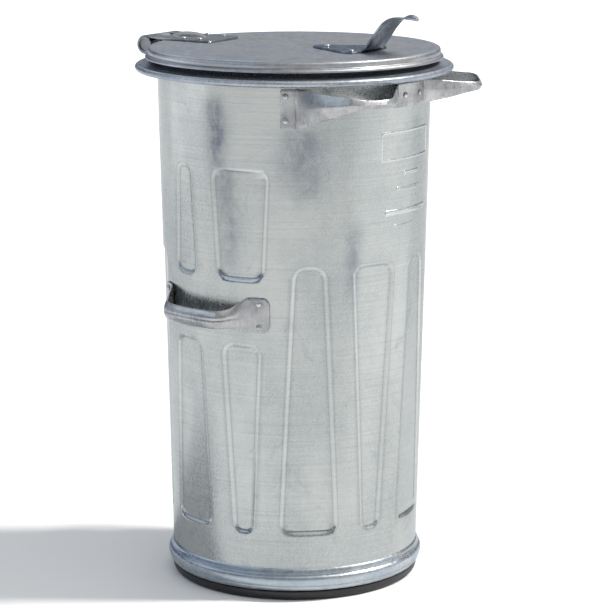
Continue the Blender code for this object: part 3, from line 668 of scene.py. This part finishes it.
def make_foot():
    """Swaged foot ring, with a shallow groove over its bead."""
    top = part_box("foot_ring")[1].z
    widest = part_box("foot_ring")[1].x
    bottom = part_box("foot_ring")[0].z
    start = wall_radius(top) + GAP
    outer = [(start, top + 0.0005), (start + 0.0014, top - 0.0016), (start + 0.0022, top - 0.0042),
             (widest - 0.0034, top - 0.0062), (widest - 0.0030, top - 0.0072),
             (widest - 0.0038, top - 0.0080), (widest - 0.0032, top - 0.0088),
             (widest - 0.0016, top - 0.0100), (widest - 0.0004, top - 0.0126), (widest, top - 0.0160),
             (widest - 0.0004, top - 0.0196), (widest - 0.0016, top - 0.0226),
             (widest - 0.0022, top - 0.0234), (widest - 0.0020, top - 0.0244),
             (widest - 0.0036, top - 0.0280), (widest - 0.0056, bottom + 0.0010)]
    path = [tuple(p) for p in fill_between(outer, 3)] + [(0.1720, bottom), (0.1600, bottom)]
    verts, faces = turned(sheet_outline(path, RING_SHEET))
    add_piece("foot_bead", verts, faces, FOOT_ZINC, "foot_ring", 50.0)


def make_rubber():
    """Rubber ring with rounded edges and a moulding line."""
    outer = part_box("rubber_foot_ring")[1].x
    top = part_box("rubber_foot_ring")[1].z
    inner = 0.1500
    corners = [(inner, 0.0), (outer - 0.0062, 0.0), (outer - 0.0030, 0.0016), (outer - 0.0010, 0.0050),
               (outer - 0.0013, 0.0056), (outer - 0.0006, 0.0062), (outer, 0.0100), (outer, top - 0.0008),
               (outer - 0.0010, top), (inner, top)]
    path = eased(corners, 0.0012, 3)
    verts, faces = turned(path)
    add_piece("rubber_ring", verts, faces, RUBBER, "rubber_foot_ring", 50.0)


def make_pan():
    """Dished bottom with two shallow stiffening rings."""
    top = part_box("base_pan")[1].z
    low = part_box("base_pan")[0].z
    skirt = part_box("base_pan")[1].x
    radii = np.linspace(0.0, 0.158, 80)
    dip = 0.0016 * (np.exp(-((radii - 0.060) / 0.004) ** 2) + np.exp(-((radii - 0.125) / 0.004) ** 2))
    path = [(float(r), float(top - d)) for r, d in zip(radii, dip)]
    path += eased([(0.1600, top), (0.1680, top - 0.0030), (skirt, top - 0.0090), (skirt, low)], 0.003)
    verts, faces = turned(sheet_outline(path, SHEET), 144)
    add_piece("bottom_pan", verts, faces, INSIDE_ZINC, "base_pan", 50.0)


# ---- strap handles ------------------------------------------------------------------------------
def strap_piece(name, node, rows, lip_power, corner, valley):
    """Strap bent along rows of (x, y, low, high, lip, lean), with rounded ends and eased edges.

    lip is how far the strap's two edges stand out from its middle, with a fine valley along it.
    """
    rows = np.array(rows)
    place = rows[:, :2]
    step = np.gradient(place, axis=0)
    step /= np.linalg.norm(step, axis=1)[:, None]
    normal = np.stack([step[:, 1], -step[:, 0]], -1)
    run = np.concatenate([[0.0], np.cumsum(np.linalg.norm(np.diff(place, axis=0), axis=1))])
    near_end = np.minimum(run, run[-1] - run)
    round_end = corner - np.sqrt(np.maximum(corner ** 2 - (corner - near_end) ** 2, 0.0))
    inset = np.where(near_end < corner, round_end, 0.0)
    low, high = rows[:, 2] + inset, rows[:, 3] - inset
    share = np.sin(np.linspace(-0.5, 0.5, 25) * math.pi)
    height = 0.5 * (low + high)[:, None] + 0.5 * (high - low)[:, None] * share[None, :]
    middle = 0.5 * (rows[:, 2] + rows[:, 3])[:, None]
    lip, lean = rows[:, 4][:, None], rows[:, 5][:, None]
    ahead = lip * (np.abs(share)[None, :] ** lip_power - 0.35) + lean * (height - middle)
    ahead -= valley * np.clip(lip / 0.003, -1.0, 1.0) * np.exp(-(share / 0.10) ** 2)[None, :]
    edge = np.maximum(np.abs(share) - 0.90, 0.0) / 0.10
    half = 0.5 * STRAP * np.sqrt(np.clip(1.0 - edge ** 2 * 0.75, 0.0, 1.0))
    grids = []
    for side in (1.0, -1.0):
        across = ahead + side * half[None, :]
        flat = place[:, None, :] + normal[:, None, :] * across[:, :, None]
        grids.append(np.concatenate([flat, height[:, :, None]], -1))
    faces = sheet_faces(len(rows), len(share))
    verts = np.concatenate([g.reshape(-1, 3) for g in grids])
    add_piece(name, verts, faces, HANDLE_ZINC, node, 45.0)


def flange_rows(azimuths, low, high, steps):
    """Strap rows that lie on the wall and lean with it."""
    taper = (RADIUS_HIGH - RADIUS_LOW) / (SHELL_HIGH - SHELL_LOW)
    rows = []
    for azimuth in np.linspace(azimuths[0], azimuths[1], steps + 1):
        place = outward(azimuth) * (wall_radius(0.5 * (low + high)) + GAP + 0.5 * STRAP)
        rows.append((place.x, place.y, low, high, 0.0, taper))
    return rows


def loop_rows(azimuth, keys, steps):
    """Rows of a loop from keys of (along, out, low, high, lip) about its centre line."""
    rows = []
    for along, out, low, high, lip in fill_between(keys, steps):
        place = outward(azimuth) * float(out) + sideways(azimuth) * float(along)
        rows.append((place.x, place.y, low, high, lip, 0.0))
    return rows


def mirrored(keys):
    """The same keys on the other side of the centre line."""
    return [(-key[0], *key[1:]) for key in reversed(keys)]


def make_double_handle():
    """One strap under the rim: end flange, loop, middle plate, loop, end flange."""
    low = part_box("front_double_handle")[0].z + 0.0002
    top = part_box("front_double_handle")[1].z - 0.0002
    outer_arm = [(-0.0730, 0.1795, 0.6550, top, -0.0006), (-0.0640, 0.1966, 0.6610, 0.7062, -0.0032),
                 (-0.0530, 0.2168, 0.6690, 0.7048, -0.0042), (-0.0420, 0.2360, 0.6760, 0.7042, -0.0040),
                 (-0.0345, 0.2482, 0.6810, 0.7040, -0.0034)]
    grip = [(-0.0250, 0.2552, 0.6850, 0.7025, -0.0030), (-0.0110, 0.2575, 0.6875, 0.6998, -0.0028),
            (0.0110, 0.2575, 0.6878, 0.6990, -0.0028), (0.0250, 0.2552, 0.6876, 0.6990, -0.0028)]
    inner_arm = [(0.0345, 0.2482, 0.6868, 0.6995, -0.0028), (0.0420, 0.2360, 0.6850, 0.7006, -0.0030),
                 (0.0530, 0.2168, 0.6812, 0.7030, -0.0028), (0.0640, 0.1966, 0.6784, 0.7060, -0.0020),
                 (0.0730, 0.1795, 0.6765, top, -0.0006)]
    keys = outer_arm + grip + inner_arm
    rows = flange_rows((-62.0, -56.0), low, top, 14)
    rows += loop_rows(-LOOP_AZ, keys, 8)
    rows += flange_rows((-10.0, 10.0), 0.6760, top, 24)
    rows += loop_rows(LOOP_AZ, mirrored(keys), 8)
    rows += flange_rows((56.0, 62.0), low, top, 14)
    strap_piece("double_handle", "front_double_handle", rows, lip_power=1.25, corner=0.0022, valley=0.0002)


def make_lower_handle(side):
    """Strap handle at mid height on one side."""
    node = "lower_handle_left" if side < 0 else "lower_handle_right"
    low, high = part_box(node)[0].z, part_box(node)[1].z
    grip_low, grip_high = low + 0.0075, high - 0.0165
    half = [(-0.0700, 0.1720, low + 0.001, high - 0.001, 0.0002),
            (-0.0650, 0.1825, low + 0.005, high - 0.007, -0.0016),
            (-0.0600, 0.1930, low + 0.008, high - 0.013, -0.0034),
            (-0.0530, 0.2030, grip_low, grip_high + 0.001, -0.0046),
            (-0.0430, 0.2100, grip_low, grip_high, -0.0048),
            (-0.0280, 0.2136, grip_low, grip_high, -0.0048),
            (-0.0120, 0.2150, grip_low, grip_high, -0.0048)]
    centre, flange_start, flange_end = side * LOWER_HANDLE_AZ, 24.4, 32.0
    rows = flange_rows((centre - flange_end, centre - flange_start), low, high, 26)
    rows += loop_rows(centre, half + mirrored(half), 9)
    rows += flange_rows((centre + flange_start, centre + flange_end), low, high, 26)
    strap_piece("side_" + node, node, rows, lip_power=2.0, corner=0.0105, valley=-0.0010)


# ---- lid and hinge ------------------------------------------------------------------------------
def make_lid():
    """Lid sheet with a rounded edge, a skirt, a stepped hem and the slight waviness of thin sheet."""
    skirt = 0.2025
    radii = np.linspace(0.0, 0.1930, 64)
    path = [(float(r), LID_Z) for r in radii]
    path += eased([(0.1945, LID_Z), (0.1990, LID_Z - 0.0002), (skirt - 0.0008, LID_Z - 0.0016),
                   (skirt, LID_Z - 0.0046), (skirt, LID_Z - 0.0078), (skirt - 0.0005, LID_Z - 0.0086),
                   (skirt + 0.0004, LID_Z - 0.0094), (LID_HEM - 0.0010, LID_Z - 0.0108),
                   (LID_HEM, LID_Z - 0.0124), (LID_HEM, LID_LOW)], 0.0012, 3)
    verts, faces = turned(sheet_outline(path, SHEET), 240)
    wavy_to, fade_run, wave_depth = 0.165, 0.025, 0.00018
    reach = np.hypot(verts[:, 0], verts[:, 1])
    fade = 1.0 - smooth_step((reach - wavy_to) / fade_run)
    wave = waves(verts[:, 0] * 34.0, verts[:, 1] * 34.0, 21)
    verts[:, 2] += fade * wave_depth * np.minimum(wave, 0.0)
    add_piece("lid_sheet", verts, faces, LID_ZINC, "lid_shell", 50.0)


def folded_grid(middle, xs, thickness, rise=None):
    """Front and back grids of a strip that runs along (y, z) points; rise lifts both faces."""
    grids = []
    for offset in (-0.5 * thickness, 0.5 * thickness):
        side = offset_path(middle, offset)
        grid = np.zeros((len(side), len(xs), 3))
        grid[:, :, 0] = xs[None, :]
        grid[:, :, 1:] = side[:, None, :]
        if rise is not None:
            grid[:, :, 2] += rise(grid[:, :, 0], grid[:, :, 1])
        grids.append(grid)
    return grids


def dome_rise(x, y):
    """Height of the long dome pressed up out of the hinge strap, short of the knuckles."""
    centre_y, half_x, half_y, height, knuckle_y = 0.1790, 0.0165, 0.0295, 0.0062, 0.2160
    reach = np.hypot(x / half_x, (y - centre_y) / half_y)
    return np.where(y < knuckle_y, height * np.clip(1.0 - reach ** 2.2, 0.0, 1.0) ** 0.75, 0.0)


def make_hinge_plate():
    """Strap on the lid, with a pressed dome, a slot and two rolled knuckles."""
    half, slot, corner = 0.0380, 0.0150, 0.0060
    plate_z = LID_Z + GAP + 0.5 * HINGE_STRAP
    start_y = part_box("lid_hinge_strap")[0].y
    roll = KNUCKLE_OUTER - 0.5 * HINGE_STRAP
    flat = [(y, plate_z) for y in np.linspace(start_y, 0.2060, 60)]
    middle = flat + eased([(0.2075, plate_z + 0.0001), (0.2180, plate_z + 0.0008),
                           (HINGE.y - 0.003, HINGE.z + roll - 0.0003)], 0.006, 5)
    middle += arc((HINGE.y, HINGE.z), roll, 90.0, -150.0, 40)
    xs = np.concatenate([np.linspace(-half, -slot, 13), np.linspace(-slot, slot, 17)[1:],
                         np.linspace(slot, half, 13)[1:]])
    front, back = folded_grid(middle, xs, HINGE_STRAP, dome_rise)
    centre_x = 0.5 * (xs[1:] + xs[:-1])
    slotted = np.arange(len(middle) - 1) >= len(flat)
    mask = ~(slotted[:, None] & (np.abs(centre_x) < slot)[None, :])
    for grid in (front, back):
        near = np.maximum(corner - (grid[:, :, 1] - start_y), 0.0)
        limit = half - (corner - np.sqrt(np.maximum(corner ** 2 - near ** 2, 0.0)))
        grid[:, :, 0] = np.clip(grid[:, :, 0], -limit, limit)
    faces = sheet_faces(len(middle), len(xs), mask=mask)
    verts = np.concatenate([front.reshape(-1, 3), back.reshape(-1, 3)])
    add_piece("lid_hinge_plate", verts, faces, PLATE_ZINC, "lid_hinge_strap", 40.0, 0.0005)


def make_bracket():
    """Strap on the wall that passes behind the rim and wraps the tube between the knuckles."""
    low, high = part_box("hinge_bracket")[0].z, 0.6860
    off_wall = GAP + 0.5 * HINGE_STRAP
    roll = KNUCKLE_OUTER - 0.5 * HINGE_STRAP
    curl = arc((HINGE.y, HINGE.z), roll, 160.0, -45.0, 32)
    bend = [curl[-1], (0.2262, 0.7152), (0.2262, 0.7085), (wall_radius(high) + off_wall, high),
            (wall_radius(low) + off_wall, low)]
    middle = curl[:-1] + eased(bend, 0.004, 5)
    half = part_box("hinge_bracket")[1].x
    xs = np.linspace(-half, half, 13)
    front, back = folded_grid(middle, xs, HINGE_STRAP)
    faces = sheet_faces(len(middle), len(xs))
    verts = np.concatenate([front.reshape(-1, 3), back.reshape(-1, 3)])
    add_piece("wall_hinge_bracket", verts, faces, PLATE_ZINC, "hinge_bracket", 40.0, 0.0005)


def make_tube():
    """Tube through the knuckles with rolled-over ends, closed by a plug just inside each end."""
    low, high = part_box("hinge_tube")
    outer, inner, flare = 0.0102, 0.0086, 0.5 * (high.y - low.y)
    end, collar, plug = high.x, 0.0012, 0.0022
    corners = [(inner, -end + 0.0018), (inner, -end), (flare - 0.0003, -end), (flare, -end + 0.0004),
               (flare - 0.0002, -end + collar), (outer, -end + collar + 0.0001)]
    corners += [(radius, -x) for radius, x in reversed(corners)]
    outline = [(0.0, -end + plug)] + eased(corners, 0.0004, 2) + [(0.0, end - plug)]
    verts, faces = turned(outline, 64)
    placed = np.stack([verts[:, 2], HINGE.y + verts[:, 0], HINGE.z + verts[:, 1]], -1)
    add_piece("hinge_tube_rolled", placed, faces, PLATE_ZINC, "hinge_tube", 45.0)


def make_lever():
    """Lifting tongue: a flat delta-shaped foot that bends up into a rising blade that levels out.

    Each row is how far forward of the axis, how high, half the width, and how far the sides curl up.
    """
    foot = LID_Z + GAP + 0.5 * LEVER_STRAP
    start = [(0.0350, foot, 0.0050, 0.0), (0.0370, foot, 0.0085, 0.0), (0.0420, foot, 0.0120, 0.0),
             (0.0700, foot, 0.0265, 0.0), (0.1000, foot, 0.0420, 0.0), (0.1080, foot, 0.0455, 0.0),
             (0.1140, foot, 0.0465, 0.0), (0.1190, foot, 0.0460, 0.0), (0.1225, foot, 0.0440, 0.0)]
    blade = [(0.1245, foot + 0.0002, 0.0300, 0.0002), (0.1258, foot + 0.0006, 0.0270, 0.0004),
             (0.1300, foot + 0.0030, 0.0255, 0.0014), (0.1400, foot + 0.0146, 0.0250, 0.0026),
             (0.1500, foot + 0.0278, 0.0250, 0.0030), (0.1600, foot + 0.0382, 0.0245, 0.0028),
             (0.1700, foot + 0.0438, 0.0230, 0.0024), (0.1800, foot + 0.0455, 0.0195, 0.0020),
             (0.1900, foot + 0.0450, 0.0125, 0.0012), (0.1960, foot + 0.0440, 0.0065, 0.0006),
             (0.1988, foot + 0.0434, 0.0025, 0.0003)]
    rows = np.vstack([fill_between(start, 3), fill_between(blade, 6)])
    share = np.linspace(-1.0, 1.0, 21)
    grids = []
    for offset in (-0.5 * LEVER_STRAP, 0.5 * LEVER_STRAP):
        side = offset_path(rows[:, :2], offset)
        grid = np.zeros((len(rows), len(share), 3))
        grid[:, :, 0] = rows[:, 2][:, None] * share[None, :]
        grid[:, :, 1] = -side[:, 0][:, None]
        grid[:, :, 2] = side[:, 1][:, None] + rows[:, 3][:, None] * share[None, :] ** 2
        grids.append(grid)
    faces = sheet_faces(len(rows), len(share))
    verts = np.concatenate([g.reshape(-1, 3) for g in grids])
    add_piece("lid_tongue", verts, faces, LEVER_ZINC, "lid_lever", 40.0, 0.0005)


# ---- rivets -------------------------------------------------------------------------------------
def make_rivet(node):
    """Domed rivet with a hammered head, placed where its CAD node is."""
    points = node_points(node)
    low, high = (np.array(corner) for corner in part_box(node))
    centre = 0.5 * (low + high)
    on_lid = body_name(node) == "lid"
    axis = np.array([0.0, 0.0, 1.0]) if on_lid else np.array([centre[0], centre[1], 0.0])
    axis /= np.linalg.norm(axis)
    along = points @ axis
    across = points - along[:, None] * axis
    line = across.mean(0)
    top, bottom = float(along.max()), float(along.min())
    head, shank, tail, rise = 0.0041, 0.0021, 0.0035, 0.0022
    dome = [(head * math.sin(a), top - rise * (1.0 - math.cos(a)) * 0.98)
            for a in np.linspace(0, math.pi / 2, 9)]
    outline = dome + [(head * 0.98, top - rise), (shank, top - rise), (shank, bottom + 0.0014),
                      (tail, bottom + 0.0013), (tail * 0.85, bottom + 0.0002), (0.0, bottom)]
    outline[0] = (0.0, top)
    verts, faces = turned(outline, 28)
    angle = np.arctan2(verts[:, 1], verts[:, 0])
    dent = 0.00096 * np.sin(3.0 * angle + 630.0 * centre[0])
    verts[:, :2] *= (1.0 + dent)[:, None]
    turn = np.array(Vector((0.0, 0.0, 1.0)).rotation_difference(Vector(axis)).to_matrix())
    placed = verts @ turn.T + line
    add_piece(node + "_domed", placed, faces, RIVET_ZINC, node, 40.0)


# ---- studio -------------------------------------------------------------------------------------
def make_camera():
    """Camera: three-quarter view from a little above the rim."""
    data = bpy.data.cameras.new("camera")
    data.lens = CAMERA_LENS
    data.sensor_width = 36.0
    data.clip_end = 60.0
    camera = bpy.data.objects.new("camera", data)
    bpy.context.scene.collection.objects.link(camera)
    camera.location = outward(CAMERA_AZ) * CAMERA_DISTANCE + Vector((0.0, 0.0, CAMERA_HEIGHT))
    camera.rotation_euler = (math.radians(90.0 - CAMERA_PITCH_DEG), 0.0,
                             math.radians(CAMERA_AZ - CAMERA_YAW_DEG))
    bpy.context.scene.camera = camera


def make_floor():
    """Plain pale floor, a hair below the rubber ring."""
    mesh = bpy.data.meshes.new("floor")
    reach = 30.0
    corners = [(-reach, -reach, 0), (reach, -reach, 0), (reach, reach, 0), (-reach, reach, 0)]
    mesh.from_pydata(corners, [], [(0, 1, 2, 3)])
    floor = bpy.data.objects.new("floor", mesh)
    bpy.context.scene.collection.objects.link(floor)
    floor.location.z = -0.0002
    paint = bpy.data.materials.new("floor_paint")
    paint.use_nodes = True
    shader = paint.node_tree.nodes["Principled BSDF"]
    shader.inputs["Base Color"].default_value = (0.86, 0.86, 0.86, 1.0)
    shader.inputs["Roughness"].default_value = 0.9
    shader.inputs["Specular IOR Level"].default_value = 0.1
    mesh.materials.append(paint)


def add_softbox(name, azimuth, distance, height, size, power, colour=(1.0, 1.0, 1.0), aim_z=0.35):
    """Rectangular lamp aimed at the object; the camera doesn't see the lamp itself."""
    data = bpy.data.lights.new(name, "AREA")
    data.shape = "RECTANGLE"
    data.size, data.size_y = size
    data.energy = power
    data.color = colour
    lamp = bpy.data.objects.new(name, data)
    bpy.context.scene.collection.objects.link(lamp)
    lamp.location = outward(CAMERA_AZ + azimuth) * distance + Vector((0.0, 0.0, height))
    aim = Vector((0.0, 0.0, aim_z)) - lamp.location
    lamp.rotation_euler = aim.to_track_quat("-Z", "Y").to_euler()
    lamp.visible_camera = False


def make_world():
    """Soft pale room: bright on one side and overhead, dimmer and bluer on the other."""
    world = bpy.data.worlds.new("studio_world")
    bpy.context.scene.world = world
    world.use_nodes = True
    tree = world.node_tree
    tree.nodes.clear()
    out = tree.nodes.new("ShaderNodeOutputWorld")
    back = tree.nodes.new("ShaderNodeBackground")
    coords = tree.nodes.new("ShaderNodeTexCoord")
    side = tree.nodes.new("ShaderNodeVectorMath")
    side.operation = "DOT_PRODUCT"
    side.inputs[1].default_value = outward(CAMERA_AZ + 80.0) * 0.55 + Vector((0.0, 0.0, 0.835))
    share = tree.nodes.new("ShaderNodeMapRange")
    share.inputs["From Min"].default_value = -0.50
    share.inputs["From Max"].default_value = 0.85
    ramp = tree.nodes.new("ShaderNodeValToRGB")
    ramp.color_ramp.interpolation = "EASE"
    ramp.color_ramp.elements[0].color = DIM_SIDE
    ramp.color_ramp.elements[1].color = BRIGHT_SIDE
    back.inputs["Strength"].default_value = WORLD_STRENGTH
    tree.links.new(coords.outputs["Generated"], side.inputs[0])
    tree.links.new(side.outputs["Value"], share.inputs["Value"])
    tree.links.new(share.outputs["Result"], ramp.inputs["Fac"])
    tree.links.new(ramp.outputs["Color"], back.inputs["Color"])
    tree.links.new(back.outputs["Background"], out.inputs["Surface"])


def make_lights():
    """Softboxes at the sides, in front, overhead and behind, with a broad sun-like key."""
    add_softbox("softbox_right", 83.0, 1.30, 1.0, (1.60, 2.0), 3.4, (1.0, 0.99, 0.97), 1.0)
    add_softbox("softbox_left", -98.0, 1.40, 1.15, (1.20, 1.6), 3.0, (0.96, 0.98, 1.0), 1.15)
    add_softbox("softbox_front", -66.0, 1.70, 1.55, (2.6, 0.9), 5.8, (0.78, 0.92, 1.0), 0.45)
    add_softbox("softbox_top", 30.0, 1.3, 2.4, (2.6, 2.6), 12.0, (1.0, 0.99, 0.97), 0.0)
    add_softbox("softbox_back", 180.0, 7.0, 5.0, (8.0, 6.0), 170.0, (1.0, 1.0, 1.0), -60.0)
    data = bpy.data.lights.new("key", "SUN")
    data.energy = KEY_STRENGTH
    data.angle = KEY_ANGLE
    data.color = (1.0, 0.985, 0.95)
    key = bpy.data.objects.new("key", data)
    bpy.context.scene.collection.objects.link(key)
    aim = -(outward(CAMERA_AZ + KEY_AZ) * math.cos(KEY_HEIGHT) + Vector((0.0, 0.0, math.sin(KEY_HEIGHT))))
    key.rotation_euler = aim.to_track_quat("-Z", "Y").to_euler()


# ---- build --------------------------------------------------------------------------------------
def main():
    make_camera()
    make_wall()
    make_marking()
    make_rim()
    make_foot()
    make_rubber()
    make_pan()
    make_double_handle()
    make_lower_handle(-1)
    make_lower_handle(1)
    make_lid()
    make_hinge_plate()
    make_bracket()
    make_tube()
    make_lever()
    for node in sorted(n for n in frame["nodes"] if n.startswith("rivet_")):
        make_rivet(node)
    make_floor()
    make_world()
    make_lights()
    bpy.context.scene.view_settings.view_transform = "Standard"


main()
